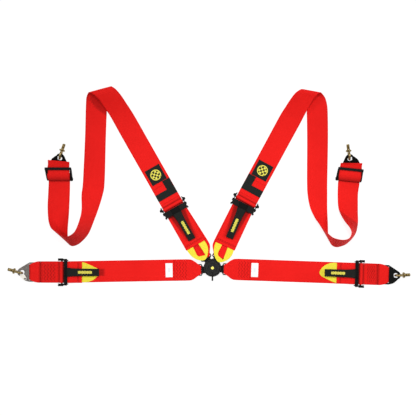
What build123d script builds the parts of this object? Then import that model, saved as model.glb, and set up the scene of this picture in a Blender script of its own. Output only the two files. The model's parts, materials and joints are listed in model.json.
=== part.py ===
from build123d import *
import math
import os

# A four-arm racing harness laid out on a flat surface.
# Millimetres, +Z up. The origin is the rotary buckle's axis, on the surface that the harness lies on.
# Each arm is built in its own frame: u runs outward from the buckle, v across the webbing, z up.

# Webbing
WEB_HALF = 37.5          # half of the 75 mm (3 inch) webbing width
WEB_T = 1.6              # thickness of one layer
DOUBLE_T = 2 * WEB_T     # two layers sewn together
ROOM = 0.3               # gap between pieces that move against each other

# Rotary buckle
HOUSING_R = 31.0
WALL_INNER_R = 24.5
BASE_T = 3.0
ROOF_LOW = 15.0
HOUSING_TOP = 17.0
KNOB_R = 26.0
KNOB_LOW = 17.4
KNOB_TOP = 22.0
HUB_R = 16.0
HUB_TOP = 25.0
BADGE_R = 5.2
SHAFT_R = 4.0
SHAFT_FIT = 0.05         # radial running clearance of the shaft and the latch pins
LEVER_R = 2.8
LEVER_Z = 20.4
LEVER_REACH = 42.0
BALL_R = 3.4
PIN_R = 3.0
PIN_U = 19.0             # latch pin distance from the buckle axis
PIN_LOW = 3.2
PIN_TOP = 9.7
GUIDE_LOW = 5.0
GUIDE_TOP = 7.0
CAM_R = 15.5
CAM_LOW = 7.4
CAM_TOP = 9.2
SCREW_R = 1.5
SCREW_HEAD_R = 2.6
SCREW_RING = 27.8
SCREW_TOP = 9.0
SCREW_ANGLES = (31.0, 152.0, 225.0, 315.0)

# Tongues
BLADE_LOW = 10.0
BLADE_TOP = 13.0
BLADE_MID = 11.5
BLADE_HALF = 12.0
TONGUE_BAR_U = 45.5
TONGUE_BAR_HALF = 3.0
TONGUE_SLOT_U = 39.4
TONGUE_HALF = 20.5
TONGUE_SLOT_HALF = 17.0
LOOP_END_HALF = 12.5     # half width of the webbing at the far side of the tongue's bar
LOOP_SLOT_HALF = 16.3    # and where it passes through the tongue's slot
LOOP_BAR_HALF = 19.0     # and over the bar
TONGUE_LOOP_R = 3.7      # inside of the webbing loop round the tongue bar
SEWN_END = 135.0

# Yellow pull loops
LOOP_TAPE = 17.0         # width of the loop's tape at its far end
LOOP_OPEN_HALF = 12.5    # half width of the finger opening
LOOP_SQUARE = 0.67       # how square the opening is: 1 is an oval

# Webbing adjuster, in the adjuster frame: u = 0 is the edge between lip and roll
ANCHOR_U = 7.0
ANCHOR_Z = 7.5
ANCHOR_R = 3.0
CHEEK_IN = 40.0
CHEEK_OUT = 43.0
EAR_OUT = 48.5
LAP_EAR = [(-3, CHEEK_OUT), (2, EAR_OUT), (19, EAR_OUT), (21, 46), (18, CHEEK_OUT)]
SHOULDER_EAR = [(2, CHEEK_OUT), (5, 46), (6, 49), (8, 50.5), (12.5, 50.5), (14.5, 48.5), (15.5, 45.5),
                (18.5, CHEEK_OUT)]
LUG_LENGTH = 6.5         # small lugs at the ends of the shoulder adjusters' longer lip
LUG_OUT = 45.5
LIP_LOW = 10.5
LIP_TOP = 13.0
TAB_END_Z = 11.0         # underside of the pull tab's free end
TURN_U = -4.5
TURN_Z = 5.05
TURN_LEG = 14.0          # how far the turn round the sliding bar reaches back towards the buckle
RUN_GAP = 17.5           # where the strap's lower run and tail stop, clear of the turn as it tilts

# Snap hook bracket, in the bracket frame: p = 0 is the axis of the bar inside the webbing loop
PLATE_T = 3.0
PLATE_HALF = 34.0
SLOT_HALF = 28.5
BAR_HALF = 3.2
SLOT_END = 6.4
LOOP_R = 3.9             # inside of the webbing loop round the bracket bar
LOOP_OUT = LOOP_R + WEB_T
LOOP_HALF = 27.0         # half width of the webbing where it is folded narrow for the slot
HOOK_P = 30.0
HOOK_R = 7.5
TIP_P = 46.5
ARM_P = 42.0             # middle of the hook's nose, which the eye bolt's ring goes round
RIVET_P = 20.5
RIVET_Q = 23.0
RIVET_R = 2.2

# Eye bolt with a 7/16 inch shank
RING_R = 13.5
WIRE_R = 3.5
RING_Z = 17.0
COLLAR_R = 10.0
COLLAR_U = 15.5
COLLAR_T = 4.0
SHANK_R = 5.55
SHANK_END = 41.0
BOLT_PITCH = 14.0        # the shank dips towards the surface

# Three-bar slider on the shoulder straps, in the end frame: u = 0 is the top bar's axis
SLIDER_BAR_U = -36.0
SLIDER_BAR_Z = 6.0
SLIDER_BAR_R = 2.1
SLIDER_IN = 38.3         # inside of the slider's cheeks
# Outlines of the slider's cheeks: the heavy one ends in a knob, the light one leans inward.
HEAVY_CHEEK = [(4.5, SLIDER_IN), (4.5, 43), (-4.5, 44.5), (-30, 46.8), (-33, 48.5), (-40, 48.5), (-43, 46),
               (-43, 40.5), (-41, SLIDER_IN)]
LIGHT_CHEEK = [(4.5, SLIDER_IN), (-41, SLIDER_IN), (-41, 41.5), (-34, 43.5)]
END_START = -47.0
STACK_END = -10.4        # clear of the bracket's plate
END_BAR_U = 9.0

# Each arm: where its strap starts and points, the adjuster's distance, the lengths of the lip, free tail,
# pull loop and pull tab in front of it, and how the bracket and eye bolt lie. gate_side is the side of the
# bracket, along v, that its gate is on. A shoulder arm's slider is at "end" (x, y, direction), its light
# cheek is on the gate's side and slider_reach is where its top bar ends there.
ARMS = {
    "left_lap": dict(origin=(0.0, -6.5), angle=181.0, adjuster=519.0, upper=179.8, lip=13.0, tail=63.0,
                     tail_z=2.0, loop_rise=0.0, loop_run=30.0, loop_depth=61.0, tab=124.0, bracket=115.0,
                     tilt=11.0, bolt_angle=166.0, gate_side=1),
    "right_lap": dict(origin=(0.0, -3.2), angle=-2.0, adjuster=511.0, lip=13.0, tail=76.0, tail_z=2.0,
                      loop_rise=0.0, loop_run=30.0, loop_depth=61.0, tab=119.0, bracket=100.0, tilt=20.0,
                      bolt_angle=2.0, gate_side=-1),
    "left_shoulder": dict(origin=(0.0, 0.0), angle=122.45, adjuster=250.0, upper=119.6, lip=22.0, tail=153.0,
                          tail_z=3.6, loop_rise=14.0, loop_run=46.0, loop_depth=60.0, tab=129.0,
                          end=(-535.5, 345.5, 90.0), slider_reach=49.5, free=27.0, tilt=20.0, yaw=-10.0,
                          bolt_angle=74.0, gate_side=1),
    "right_shoulder": dict(origin=(0.0, 0.0), angle=63.3, adjuster=252.0, upper=61.6, tail_angle=65.1,
                           lip=22.0, tail=165.0, tail_z=3.6, loop_rise=14.0, loop_run=36.0, loop_depth=59.0,
                           tab=133.0, tab_turn=5.0, end=(482.0, 343.0, 84.0), slider_reach=45.0, free=22.0,
                           tilt=20.2, yaw=16.0, bolt_angle=94.5, gate_side=-1),
}

# Edge points of the shoulder webbing after its straight front run: left edge x, y, z, right edge x, y, z.
# Each row is one straight line across the webbing: over the top fold, down the leg, round the bottom
# turn and up the outer leg to the slider.
FLAT = WEB_T / 2
LEFT_ROUTE = [
    (-329, 479, 4, -264, 516, 6),
    (-352, 521, 7, -283, 548, 12),
    (-372, 553, 13, -300, 574, 20),
    (-392, 582, 22, -318, 601, 29),
    (-410, 601, 28, -335, 620.5, 31),
    (-424, 609.5, 25, -348, 630, 25),
    (-431, 611, 17, -354, 632, 15),
    (-436, 606, 8, -359, 627, 6),
    (-441, 594, 2, -364, 616, FLAT),
    (-442.5, 570, FLAT, -367, 590, FLAT),
    (-443.5, 540, FLAT, -369.5, 545, FLAT),
    (-446, 447, FLAT, -373, 447, FLAT),
    (-453, 300, FLAT, -377, 300, FLAT),
    (-456, 254, 17, -384, 254, FLAT),
    (-453, 203, 38, -399, 205, FLAT),
    (-458.5, 167, 53, -414, 165, FLAT),
    (-471.5, 131, 63, -434, 118, FLAT),
    (-487, 115.5, 67, -462, 87, 1),
    (-506, 110.6, 66, -484, 76, 2),
    (-528, 119, 59, -496, 78, 6),
    (-556, 137, 40, -500, 84, 8),
    (-566, 152, 28, -505, 100, 5),
    (-572, 172, 17, -506, 135, 1.5),
    (-576, 213, 5, -502, 187, FLAT),
    (-574.5, 262, FLAT, -499, 250, FLAT),
]
RIGHT_ROUTE = [
    (237, 533, 6, 303, 497, 4),
    (254, 560, 12, 319, 528, 7),
    (270, 585, 20, 333, 555, 13),
    (286, 606, 28, 350, 586, 22),
    (299, 616.5, 30, 363, 602, 28),
    (308, 621, 25, 371.5, 608.5, 25),
    (314, 622, 15, 378, 610.5, 17),
    (319, 616, 6, 385, 606, 8),
    (324, 603, FLAT, 394, 595, 2),
    (328, 580, FLAT, 400, 577, FLAT),
    (330, 550, FLAT, 403.5, 545, FLAT),
    (331.5, 447, FLAT, 404.5, 447, FLAT),
    (331, 300, FLAT, 402, 300, FLAT),
    (333.5, 250, 3, 402, 255, FLAT),
    (341.6, 208, 10, 402, 205, FLAT),
    (357, 173, 24, 404, 150, FLAT),
    (366, 160, 32, 405, 112, 3),
    (375, 147, 41, 411, 89, 7),
    (395, 124, 56, 420, 77, 6),
    (412, 108, 65, 433, 72, 2),
    (432, 101, 68, 447, 74, 1),
    (452, 99, 69, 467, 82, FLAT),
    (470, 105, 67, 488, 101, FLAT),
    (478, 123, 64, 502, 122, FLAT),
    (472.5, 141, 58, 508, 146, FLAT),
    (457, 162, 49, 509.6, 167, FLAT),
    (444, 188, 33, 509, 191, FLAT),
    (438, 213, 18, 509, 216, FLAT),
    (438, 255, 2, 509.5, 257, FLAT),
]


def strip(points, half_width):
    """A side outline in (u, z), extruded to both sides of the arm's centre line."""
    return extrude(Plane.XZ * make_face(Polyline(*points, close=True)), amount=half_width, both=True)


def plate(points, low, high):
    """A plan outline in (u, v), from one height to another."""
    return Pos(0, 0, low) * extrude(make_face(Polyline(*points, close=True)), amount=high - low)


def block(u_low, u_high, v_low, v_high, z_low, z_high):
    size = Box(u_high - u_low, v_high - v_low, z_high - z_low)
    return Pos((u_low + u_high) / 2, (v_low + v_high) / 2, (z_low + z_high) / 2) * size


def flip(points, side):
    """Outline mirrored across the middle when side is -1."""
    return [(p, q * side) for p, q in points]


def disc(radius, low, high):
    return Pos(0, 0, (low + high) / 2) * Cylinder(radius, high - low)


def rod(radius, half_length, u, z):
    """A round bar across the arm."""
    return Pos(u, 0, z) * Rot(90, 0, 0) * Cylinder(radius, 2 * half_length)


def both_sides(solid):
    return solid + mirror(solid, about=Plane.XZ)


def arm_frame(arm):
    return Pos(arm["origin"][0], arm["origin"][1], 0) * Rot(0, 0, arm["angle"])


def adjuster_frame(arm):
    """At the adjuster, and turned to the direction of the strap beyond it."""
    turn = arm.get("upper", arm["angle"]) - arm["angle"]
    return arm_frame(arm) * Pos(arm["adjuster"], 0, 0) * Rot(0, 0, turn)


def tail_frame(arm):
    """At the adjuster, and turned to the direction that the strap's free tail lies in."""
    angle = arm.get("tail_angle", arm.get("upper", arm["angle"]))
    return Pos(*adjuster_frame(arm).position) * Rot(0, 0, angle)


def end_frame(arm):
    x, y, angle = arm["end"]
    return Pos(x, y, 0) * Rot(0, 0, angle)


def bracket_floor_frame(arm):
    """Level frame on the surface, under the bracket's bar."""
    if "end" in arm:
        return end_frame(arm) * Pos(END_BAR_U, 0, 0) * Rot(0, 0, arm["yaw"])
    return adjuster_frame(arm) * Pos(arm["bracket"], 0, 0)


def bracket_frame(arm):
    return bracket_floor_frame(arm) * Pos(0, 0, LOOP_OUT) * Rot(0, -arm["tilt"], 0)


def bolt_frame(arm):
    """Centre of the eye bolt's ring, with u along its shank."""
    reach = ARM_P * math.cos(math.radians(arm["tilt"]))
    centre = (bracket_floor_frame(arm) * Pos(reach, 0, RING_Z)).position
    return Pos(*centre) * Rot(0, 0, arm["bolt_angle"]) * Rot(0, BOLT_PITCH, 0)


# Buckle ------------------------------------------------------------------------------------------

def around_tongues(make):
    """Repeat a solid, built along +u, at each of the four tongues."""
    return [arm_frame(arm) * make for arm in ARMS.values()]


def at_screws(make):
    return [Rot(0, 0, angle) * Pos(SCREW_RING, 0, 0) * make for angle in SCREW_ANGLES]


def back_plate():
    body = disc(HOUSING_R, 0, BASE_T)
    body = body - around_tongues(Pos(PIN_U, 0, 0) * disc(PIN_R + 0.5, -1, BASE_T + 1))
    return body - at_screws(screw_shape(0.1))


def screw_shape(room=0.0):
    shank = disc(SCREW_R + room, 0.3, SCREW_TOP + room)
    head = disc(SCREW_HEAD_R + room, 0.3 - 3 * room, 1.8)
    return head + shank


def housing():
    body = disc(HOUSING_R, BASE_T, HOUSING_TOP) - disc(WALL_INNER_R, BASE_T, ROOF_LOW)
    body = body - disc(SHAFT_R + SHAFT_FIT, ROOF_LOW - 1, HOUSING_TOP + 1)
    slot = block(12, 40, -BLADE_HALF - 0.5, BLADE_HALF + 0.5, BLADE_LOW - 0.5, BLADE_TOP + 0.5)
    body = body - around_tongues(slot)
    body = body - at_screws(disc(SCREW_R + 0.1, BASE_T - 1, SCREW_TOP + 0.1))
    rim = body.edges().filter_by(GeomType.CIRCLE).filter_by(lambda e: abs(e.radius - HOUSING_R) < 0.01)
    body = chamfer(rim.group_by(Axis.Z)[-1], 1.2)
    index_mark = Pos(0, HOUSING_R - 0.5, 0) * disc(2.2, BLADE_TOP + 0.8, HOUSING_TOP - 1.2)
    return body + index_mark


def pin_guide_plate():
    body = disc(WALL_INNER_R, GUIDE_LOW, GUIDE_TOP) - disc(SHAFT_R + SHAFT_FIT, 0, 20)
    return body - around_tongues(Pos(PIN_U, 0, 0) * disc(PIN_R + SHAFT_FIT, 0, 20))


def latch_pins():
    return Compound(children=around_tongues(Pos(PIN_U, 0, 0) * disc(PIN_R, PIN_LOW, PIN_TOP)))


def cam_plate():
    body = disc(CAM_R, CAM_LOW, CAM_TOP) - disc(SHAFT_R, 0, 20)
    notches = [Rot(0, 0, 90 * k + 30) * Pos(CAM_R, 0, 0) * disc(3.5, 0, 20) for k in range(4)]
    return body - notches


def return_spring():
    coil = Helix(pitch=1.7, height=4.25, radius=6.6)
    section = Plane(origin=coil @ 0, z_dir=coil % 0) * Circle(0.55)
    return Pos(0, 0, 9.9) * sweep(section, path=coil, is_frenet=True)


def lever():
    root = HUB_R - 6
    rail = Pos(0, -(root + LEVER_REACH) / 2, LEVER_Z) * Rot(90, 0, 0) * Cylinder(LEVER_R, LEVER_REACH - root)
    return rail + Pos(0, -LEVER_REACH, LEVER_Z) * Sphere(BALL_R)


def release_knob():
    rim = chamfer(disc(KNOB_R, KNOB_LOW, KNOB_TOP).edges().group_by(Axis.Z)[-1], 1.8)
    hub = chamfer(disc(HUB_R, KNOB_TOP - 1, HUB_TOP).edges().group_by(Axis.Z)[-1], 1.0)
    dish = disc(HUB_R - 4, HUB_TOP - 1.2, HUB_TOP + 1)
    return rim + hub - dish - disc(SHAFT_R, KNOB_LOW - 1, KNOB_TOP) - lever()


def knob_shaft():
    return disc(SHAFT_R, PIN_LOW + 0.2, KNOB_TOP)


def knob_badge():
    return chamfer(disc(BADGE_R, HUB_TOP - 1.2, HUB_TOP + 0.2).edges().group_by(Axis.Z)[-1], 0.4)


# Arms: buckle side -------------------------------------------------------------------------------

def tongue():
    half = [(13, 6), (23, BLADE_HALF), (33, BLADE_HALF), (38, TONGUE_HALF), (48.5, TONGUE_HALF)]
    outline = half + [(u, -v) for u, v in reversed(half)]
    body = plate(outline, BLADE_LOW, BLADE_TOP)
    slot = block(TONGUE_SLOT_U, TONGUE_BAR_U - TONGUE_BAR_HALF, -TONGUE_SLOT_HALF, TONGUE_SLOT_HALF, 0, 20)
    return body - slot - Pos(PIN_U, 0, 0) * disc(PIN_R + 0.4, 0, 20)


def lower_run(arm):
    """Loop round the tongue's bar, two layers sewn together, then one layer along the surface."""
    end = arm["adjuster"] - RUN_GAP
    loop_out = TONGUE_LOOP_R + WEB_T
    side = [(TONGUE_BAR_U, BLADE_MID + loop_out), (50, 15.4), (84, DOUBLE_T), (SEWN_END, DOUBLE_T),
            (SEWN_END, WEB_T), (end, WEB_T), (end, 0), (66, 0), (47, 6.4)]
    body = strip(side, WEB_HALF) + rod(loop_out, WEB_HALF, TONGUE_BAR_U, BLADE_MID)
    body = body - rod(TONGUE_LOOP_R, 60, TONGUE_BAR_U, BLADE_MID)
    half = [(39.5, LOOP_END_HALF), (42.5, LOOP_SLOT_HALF), (49.5, LOOP_BAR_HALF), (72, WEB_HALF),
            (end + 1, WEB_HALF)]
    return body & plate(half + [(u, -v) for u, v in reversed(half)], -1, 30)


def tail(arm):
    """Free end, from the top of the adjuster's bar back along the strap."""
    low = arm["tail_z"]
    side = [(-RUN_GAP, 8.5), (-RUN_GAP, 10.1), (-46, low + WEB_T), (-arm["tail"], low + WEB_T),
            (-arm["tail"], low), (-47, low)]
    return strip(side, WEB_HALF)


def buckle_strap(arm):
    return Compound(children=[arm_frame(arm) * lower_run(arm), tail_frame(arm) * tail(arm)])


def bow(start, depth, half, power):
    """Half of an oval, or of a squarer shape when power is under 1, reaching inward from start."""
    points = []
    for k in range(17):
        a = math.pi * k / 16
        across = math.copysign(abs(math.cos(a)) ** power, math.cos(a))
        points.append((start - depth * math.sin(a) ** power, half * across))
    return points


def pull_loop(arm):
    """D-shaped loop sewn to the end of the tail."""
    depth = arm["loop_depth"]
    start = -arm["tail"]
    low = arm["tail_z"]
    high = low + arm["loop_rise"]
    run = arm["loop_run"]
    side = [(start, low), (start, low + WEB_T), (start - run, high + WEB_T), (start - depth, high + WEB_T),
            (start - depth, high), (start - run, high)]
    outer = bow(start, depth, WEB_HALF - 0.5, 1.0)
    inner = bow(start - 3, depth - 3 - LOOP_TAPE, LOOP_OPEN_HALF, LOOP_SQUARE)
    return (strip(side, WEB_HALF) & plate(outer, -1, 40)) - plate(inner, -1, 40)


# Arms: adjuster ----------------------------------------------------------------------------------

def webbing_turn():
    """The strap's turn round the sliding bar, from the lower run up to the tail."""
    outer = rod(TURN_Z, WEB_HALF, TURN_U, TURN_Z)
    legs = block(-TURN_LEG, TURN_U, -WEB_HALF, WEB_HALF, 0, 2 * TURN_Z)
    inner = rod(TURN_Z - WEB_T, 60, TURN_U, TURN_Z)
    return outer + legs - inner - block(-20, TURN_U, -60, 60, WEB_T, 2 * TURN_Z - WEB_T)


def adjuster_frame_plate(arm):
    lip = -arm["lip"]
    cover = block(lip, -1, -CHEEK_OUT, CHEEK_OUT, LIP_LOW, LIP_TOP)
    nose = lip - 2.5
    side = [(nose, 4), (nose, 11), (lip, LIP_TOP), (-1, LIP_TOP), (8, 12.4), (20, 8.2), (21, 6.6),
            (11.6, 5.5), (8, 2.6), (-12, 1.6)]
    cheek = Pos(0, (CHEEK_IN + CHEEK_OUT) / 2, 0) * strip(side, (CHEEK_OUT - CHEEK_IN) / 2)
    cheek = cheek - block(-12.6, -2.2, 30, 50, 3.1, 7.7)
    if "bracket" in arm:
        cheek = cheek + plate(LAP_EAR, 9.2, 12.2)
    else:
        cheek = cheek + plate(SHOULDER_EAR, 9.2, 12.2)
        cheek = cheek + block(nose, nose + LUG_LENGTH, CHEEK_OUT - 1, LUG_OUT, 6, LIP_TOP - 0.5)
    return cover + both_sides(cheek) + rod(ANCHOR_R, CHEEK_IN + 1, ANCHOR_U, ANCHOR_Z)


def sliding_bar():
    bar = block(-9.8, -2.6, -CHEEK_OUT, CHEEK_OUT, 3.4, 7.4)
    bar = fillet(bar.edges().filter_by(Axis.Y), 1.2)
    head = block(-10.8, -1.6, CHEEK_OUT + 0.4, 46.5, 2.6, 8.2)
    neck = block(-9.0, -3.4, CHEEK_OUT - 1, CHEEK_OUT + 0.5, 3.8, 7.0)
    return bar + both_sides(neck + head)


def pull_tab(arm):
    lip = -arm["lip"]
    end = -arm["tab"]
    low = TAB_END_Z
    base = LIP_TOP + 0.05
    side = [(-2, base), (-2, base + WEB_T), (lip - 4, base + WEB_T), (end, low + WEB_T), (end, low),
            (lip - 4, base)]
    outline = [(-2, -21), (lip, -21), (lip - 16, -13.5), (end, -13.5),
               (end, 13.5), (lip - 16, 13.5), (lip, 21), (-2, 21)]
    tab = strip(side, 25) & plate(outline, 0, 30)
    return Pos(lip, 0, 0) * Rot(0, 0, arm.get("tab_turn", 0.0)) * Pos(-lip, 0, 0) * tab


# Arms: anchor side -------------------------------------------------------------------------------

def anchor_loop(end):
    """Webbing sewn round the adjuster's anchor bar, two layers up to the given distance."""
    out = ANCHOR_R + ROOM + WEB_T
    side = [(ANCHOR_U, ANCHOR_Z + out), (10.8, 10.6), (30, DOUBLE_T), (end, DOUBLE_T), (end, 0), (20, 0),
            (ANCHOR_U, ANCHOR_Z - out)]
    body = strip(side, WEB_HALF) + rod(out, WEB_HALF, ANCHOR_U, ANCHOR_Z)
    return body - rod(ANCHOR_R + ROOM, 60, ANCHOR_U, ANCHOR_Z)


def bracket_loop(start):
    """Webbing round the bracket's bar, in the bracket's level frame, folded narrow for the slot."""
    side = [(start, DOUBLE_T), (-6, 9.9), (0, 2 * LOOP_OUT), (0, 0), (start, 0)]
    body = strip(side, LOOP_HALF) + rod(LOOP_OUT, LOOP_HALF, 0, LOOP_OUT)
    return body - rod(LOOP_R, 60, 0, LOOP_OUT)


def lap_anchor_strap(arm):
    reach = arm["bracket"]
    body = anchor_loop(reach - 22)
    narrow = plate([(reach - 40, -WEB_HALF), (reach - 22, -LOOP_HALF), (reach - 21, -LOOP_HALF),
                    (reach - 21, LOOP_HALF), (reach - 22, LOOP_HALF), (reach - 40, WEB_HALF),
                    (0, WEB_HALF), (0, -WEB_HALF)], -1, 30)
    body = (body & narrow) + Pos(reach, 0, 0) * bracket_loop(-22)
    return adjuster_frame(arm) * body


def smooth(stations, steps):
    """Catmull-Rom curve through the rows of edge points, never lower than the surface."""
    rows = [stations[0]] + list(stations) + [stations[-1]]
    fine = []
    for i in range(1, len(rows) - 2):
        for k in range(steps):
            t = k / steps
            row = []
            for a, b, c, d in zip(rows[i - 1], rows[i], rows[i + 1], rows[i + 2]):
                row.append(0.5 * (2 * b + (c - a) * t + (2 * a - 5 * b + 4 * c - d) * t * t
                                  + (3 * b - a - 3 * c + d) * t ** 3))
            fine.append(row)
    fine.append(list(stations[-1]))
    for row in fine:
        row[2] = max(row[2], FLAT)
        row[5] = max(row[5], FLAT)
    return fine


def ribbon(stations, steps=3):
    """A strip of webbing through rows of left and right edge points."""
    rows = smooth(stations, steps)
    lefts = [Vector(*row[:3]) for row in rows]
    rights = [Vector(*row[3:]) for row in rows]
    sections = []
    for i, (left, right) in enumerate(zip(lefts, rights)):
        before = max(i - 1, 0)
        after = min(i + 1, len(rows) - 1)
        along = (lefts[after] + rights[after]) - (lefts[before] + rights[before])
        lift = along.cross(right - left).normalized() * FLAT
        sections.append(Wire.make_polygon([left + lift, right + lift, right - lift, left - lift]))
    return Solid.make_loft(sections, ruled=True)


def edge_row(frame, u):
    """The webbing's two edge points at distance u along a level frame."""
    left = (frame * Pos(u, WEB_HALF, FLAT)).position
    right = (frame * Pos(u, -WEB_HALF, FLAT)).position
    return (*left, *right)


def free_end(arm):
    """Webbing under and round the slider's bottom bar, then over the bracket as a loose end."""
    free = arm["free"]
    top = SLIDER_BAR_Z + 4.0
    stack = [(END_START, 0), (END_START, WEB_T), (SLIDER_BAR_U, WEB_T), (SLIDER_BAR_U, 3.6),
             (STACK_END, 3.6), (STACK_END, 0)]
    over = [(SLIDER_BAR_U, top - WEB_T), (SLIDER_BAR_U, top), (-4, top + 0.2), (6, 13.1), (12, 13.9),
            (20, 16.7), (free + 4, 21.3), (free + 4, 19.7), (20, 15.1), (12, 12.3), (6, 11.5),
            (-4, top - 1.4)]
    turn = rod(4.0, WEB_HALF, SLIDER_BAR_U, SLIDER_BAR_Z) - rod(2.4, 60, SLIDER_BAR_U, SLIDER_BAR_Z)
    turn = turn - block(SLIDER_BAR_U, 0, -60, 60, 0, 20)
    slant = 3.5 * arm["gate_side"]
    outline = [(-60, -WEB_HALF), (free - slant, -WEB_HALF), (free + slant, WEB_HALF), (-60, WEB_HALF)]
    return (strip(stack, WEB_HALF) + turn + strip(over, WEB_HALF)) & plate(outline, -1, 30)


def shoulder_anchor_strap(arm, route):
    near = adjuster_frame(arm)
    sewn = near * anchor_loop(91)
    rows = [edge_row(near, 91), edge_row(near, 160), edge_row(near, 240)] + route
    rows.append(edge_row(end_frame(arm), END_START))
    end = end_frame(arm) * free_end(arm) + bracket_floor_frame(arm) * bracket_loop(-15)
    return Compound(children=[sewn, ribbon(rows), *end.solids()])


def slider(arm):
    """Three-bar slider: round bottom and middle bars under the webbing, a flat top bar over it."""
    bars = rod(SLIDER_BAR_R, 40, SLIDER_BAR_U, SLIDER_BAR_Z) + rod(1.9, 40, -16, 6.0)
    light_side = arm["gate_side"]
    reach = arm["slider_reach"]
    ends = sorted((-43 * light_side, reach * light_side))
    top = block(-4.5, 4.5, ends[0], ends[1], 13.2, 16.2)
    side = [(-43, 3.6), (-34, 3.2), (-4.5, 9.5), (4.5, 13.2), (4.5, 16.2), (-4.5, 16.2), (-30, 11),
            (-43, 8.0)]
    cheeks = plate(flip(HEAVY_CHEEK, -light_side), 0, 30)
    cheeks = cheeks + plate(flip(LIGHT_CHEEK + [(-4.5, reach - 1), (4.5, reach)], light_side), 0, 30)
    return end_frame(arm) * (bars + top + (strip(side, 60) & cheeks))


def shoulder_patch(arm):
    """Badge square with a cross band and an edge band, sewn on the front run."""
    inner = -1 if arm["gate_side"] == 1 else 1
    square = block(101, 159, -28.5, 28.5, WEB_T, WEB_T + 0.8)
    band = block(41.5, 66.5, -WEB_HALF, WEB_HALF, DOUBLE_T, DOUBLE_T + 0.8)
    edges = sorted((inner * 8.5, inner * 36.5))
    stripe = block(66.6, 90.9, edges[0], edges[1], DOUBLE_T, DOUBLE_T + 0.8)
    return adjuster_frame(arm) * Compound(children=[square, band, stripe])


# Arms: hardware ----------------------------------------------------------------------------------

def bracket(arm):
    """Snap hook plate: bar and slot for the webbing, then a hook that is open on the gate's side."""
    side = arm["gate_side"]
    outline = [(-10, -PLATE_HALF), (5, -PLATE_HALF), (40, -13), (44.5, -8.5), (TIP_P, -3), (TIP_P, 4),
               (44, 10), (39, 13.5), (36, 13.5), (24, 13.5), (24, 27), (20, 30), (6, PLATE_HALF),
               (-10, PLATE_HALF)]
    body = plate(flip(outline, side), -PLATE_T / 2, PLATE_T / 2)
    body = body - Pos(HOOK_P, 0, 0) * disc(HOOK_R, -5, 5)
    mouth = plate(flip([(24, 0), (36, 0), (36, 40), (24, 40)], side), -5, 5)
    slot = block(BAR_HALF, SLOT_END, -SLOT_HALF, SLOT_HALF, -5, 5)
    behind = block(-20, -BAR_HALF, -SLOT_HALF, SLOT_HALF, -5, 5)
    body = body - mouth - slot - behind
    rivet = Pos(RIVET_P, side * RIVET_Q, 0) * disc(RIVET_R, PLATE_T / 2, 4.2)
    rivet_head = Pos(RIVET_P, side * RIVET_Q, 0) * disc(3.4, 3.9, 4.6)
    return bracket_frame(arm) * (body + rivet + rivet_head)


def gate(arm):
    """Sprung gate across the hook's mouth, turning on the rivet."""
    side = arm["gate_side"]
    outline = [(15.8, 20), (16.4, 27.5), (24.6, 27.8), (36, 17), (39, 12.5), (38.4, 8.6), (23, 7.6)]
    body = plate(flip(outline, side), PLATE_T / 2 + ROOM, 3.6)
    return bracket_frame(arm) * (body - Pos(RIVET_P, side * RIVET_Q, 0) * disc(RIVET_R + SHAFT_FIT, 0, 10))


def eye_bolt(arm):
    ring = Rot(90, 0, 0) * Torus(RING_R, WIRE_R)
    collar = Pos(COLLAR_U + COLLAR_T / 2, 0, 0) * Rot(0, 90, 0) * Cylinder(COLLAR_R, COLLAR_T)
    shank = chamfer(disc(SHANK_R, COLLAR_U, SHANK_END).edges().group_by(Axis.Z)[-1], 1.0)
    return bolt_frame(arm) * (ring + collar + Rot(0, 90, 0) * shank)


# Every node --------------------------------------------------------------------------------------

nodes = {
    "back_plate": back_plate(),
    "housing": housing(),
    "back_screws": Compound(children=at_screws(screw_shape())),
    "pin_guide_plate": pin_guide_plate(),
    "latch_pins": latch_pins(),
    "cam_plate": cam_plate(),
    "return_spring": return_spring(),
    "release_knob": release_knob(),
    "knob_shaft": knob_shaft(),
    "release_lever": lever(),
    "knob_badge": knob_badge(),
}
for name, arm in ARMS.items():
    nodes[name + "_tongue"] = arm_frame(arm) * tongue()
    nodes[name + "_buckle_strap"] = buckle_strap(arm)
    nodes[name + "_pull_loop"] = tail_frame(arm) * pull_loop(arm)
    nodes[name + "_webbing_turn"] = adjuster_frame(arm) * webbing_turn()
    nodes[name + "_adjuster_frame"] = adjuster_frame(arm) * adjuster_frame_plate(arm)
    nodes[name + "_sliding_bar"] = adjuster_frame(arm) * sliding_bar()
    nodes[name + "_pull_tab"] = adjuster_frame(arm) * pull_tab(arm)
    nodes[name + "_bracket"] = bracket(arm)
    nodes[name + "_gate"] = gate(arm)
    nodes[name + "_eye_bolt"] = eye_bolt(arm)
for name in ("left_lap", "right_lap"):
    nodes[name + "_anchor_strap"] = lap_anchor_strap(ARMS[name])
for name, route in (("left_shoulder", LEFT_ROUTE), ("right_shoulder", RIGHT_ROUTE)):
    nodes[name + "_anchor_strap"] = shoulder_anchor_strap(ARMS[name], route)
    nodes[name + "_slider"] = slider(ARMS[name])
    nodes[name + "_patch"] = shoulder_patch(ARMS[name])

os.makedirs("parts", exist_ok=True)
for name, solid in nodes.items():
    export_step(solid, "parts/" + name + ".step")
    print(name, round(solid.volume))
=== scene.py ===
import json
import math
import bpy
from mathutils import Matrix, Vector


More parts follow.
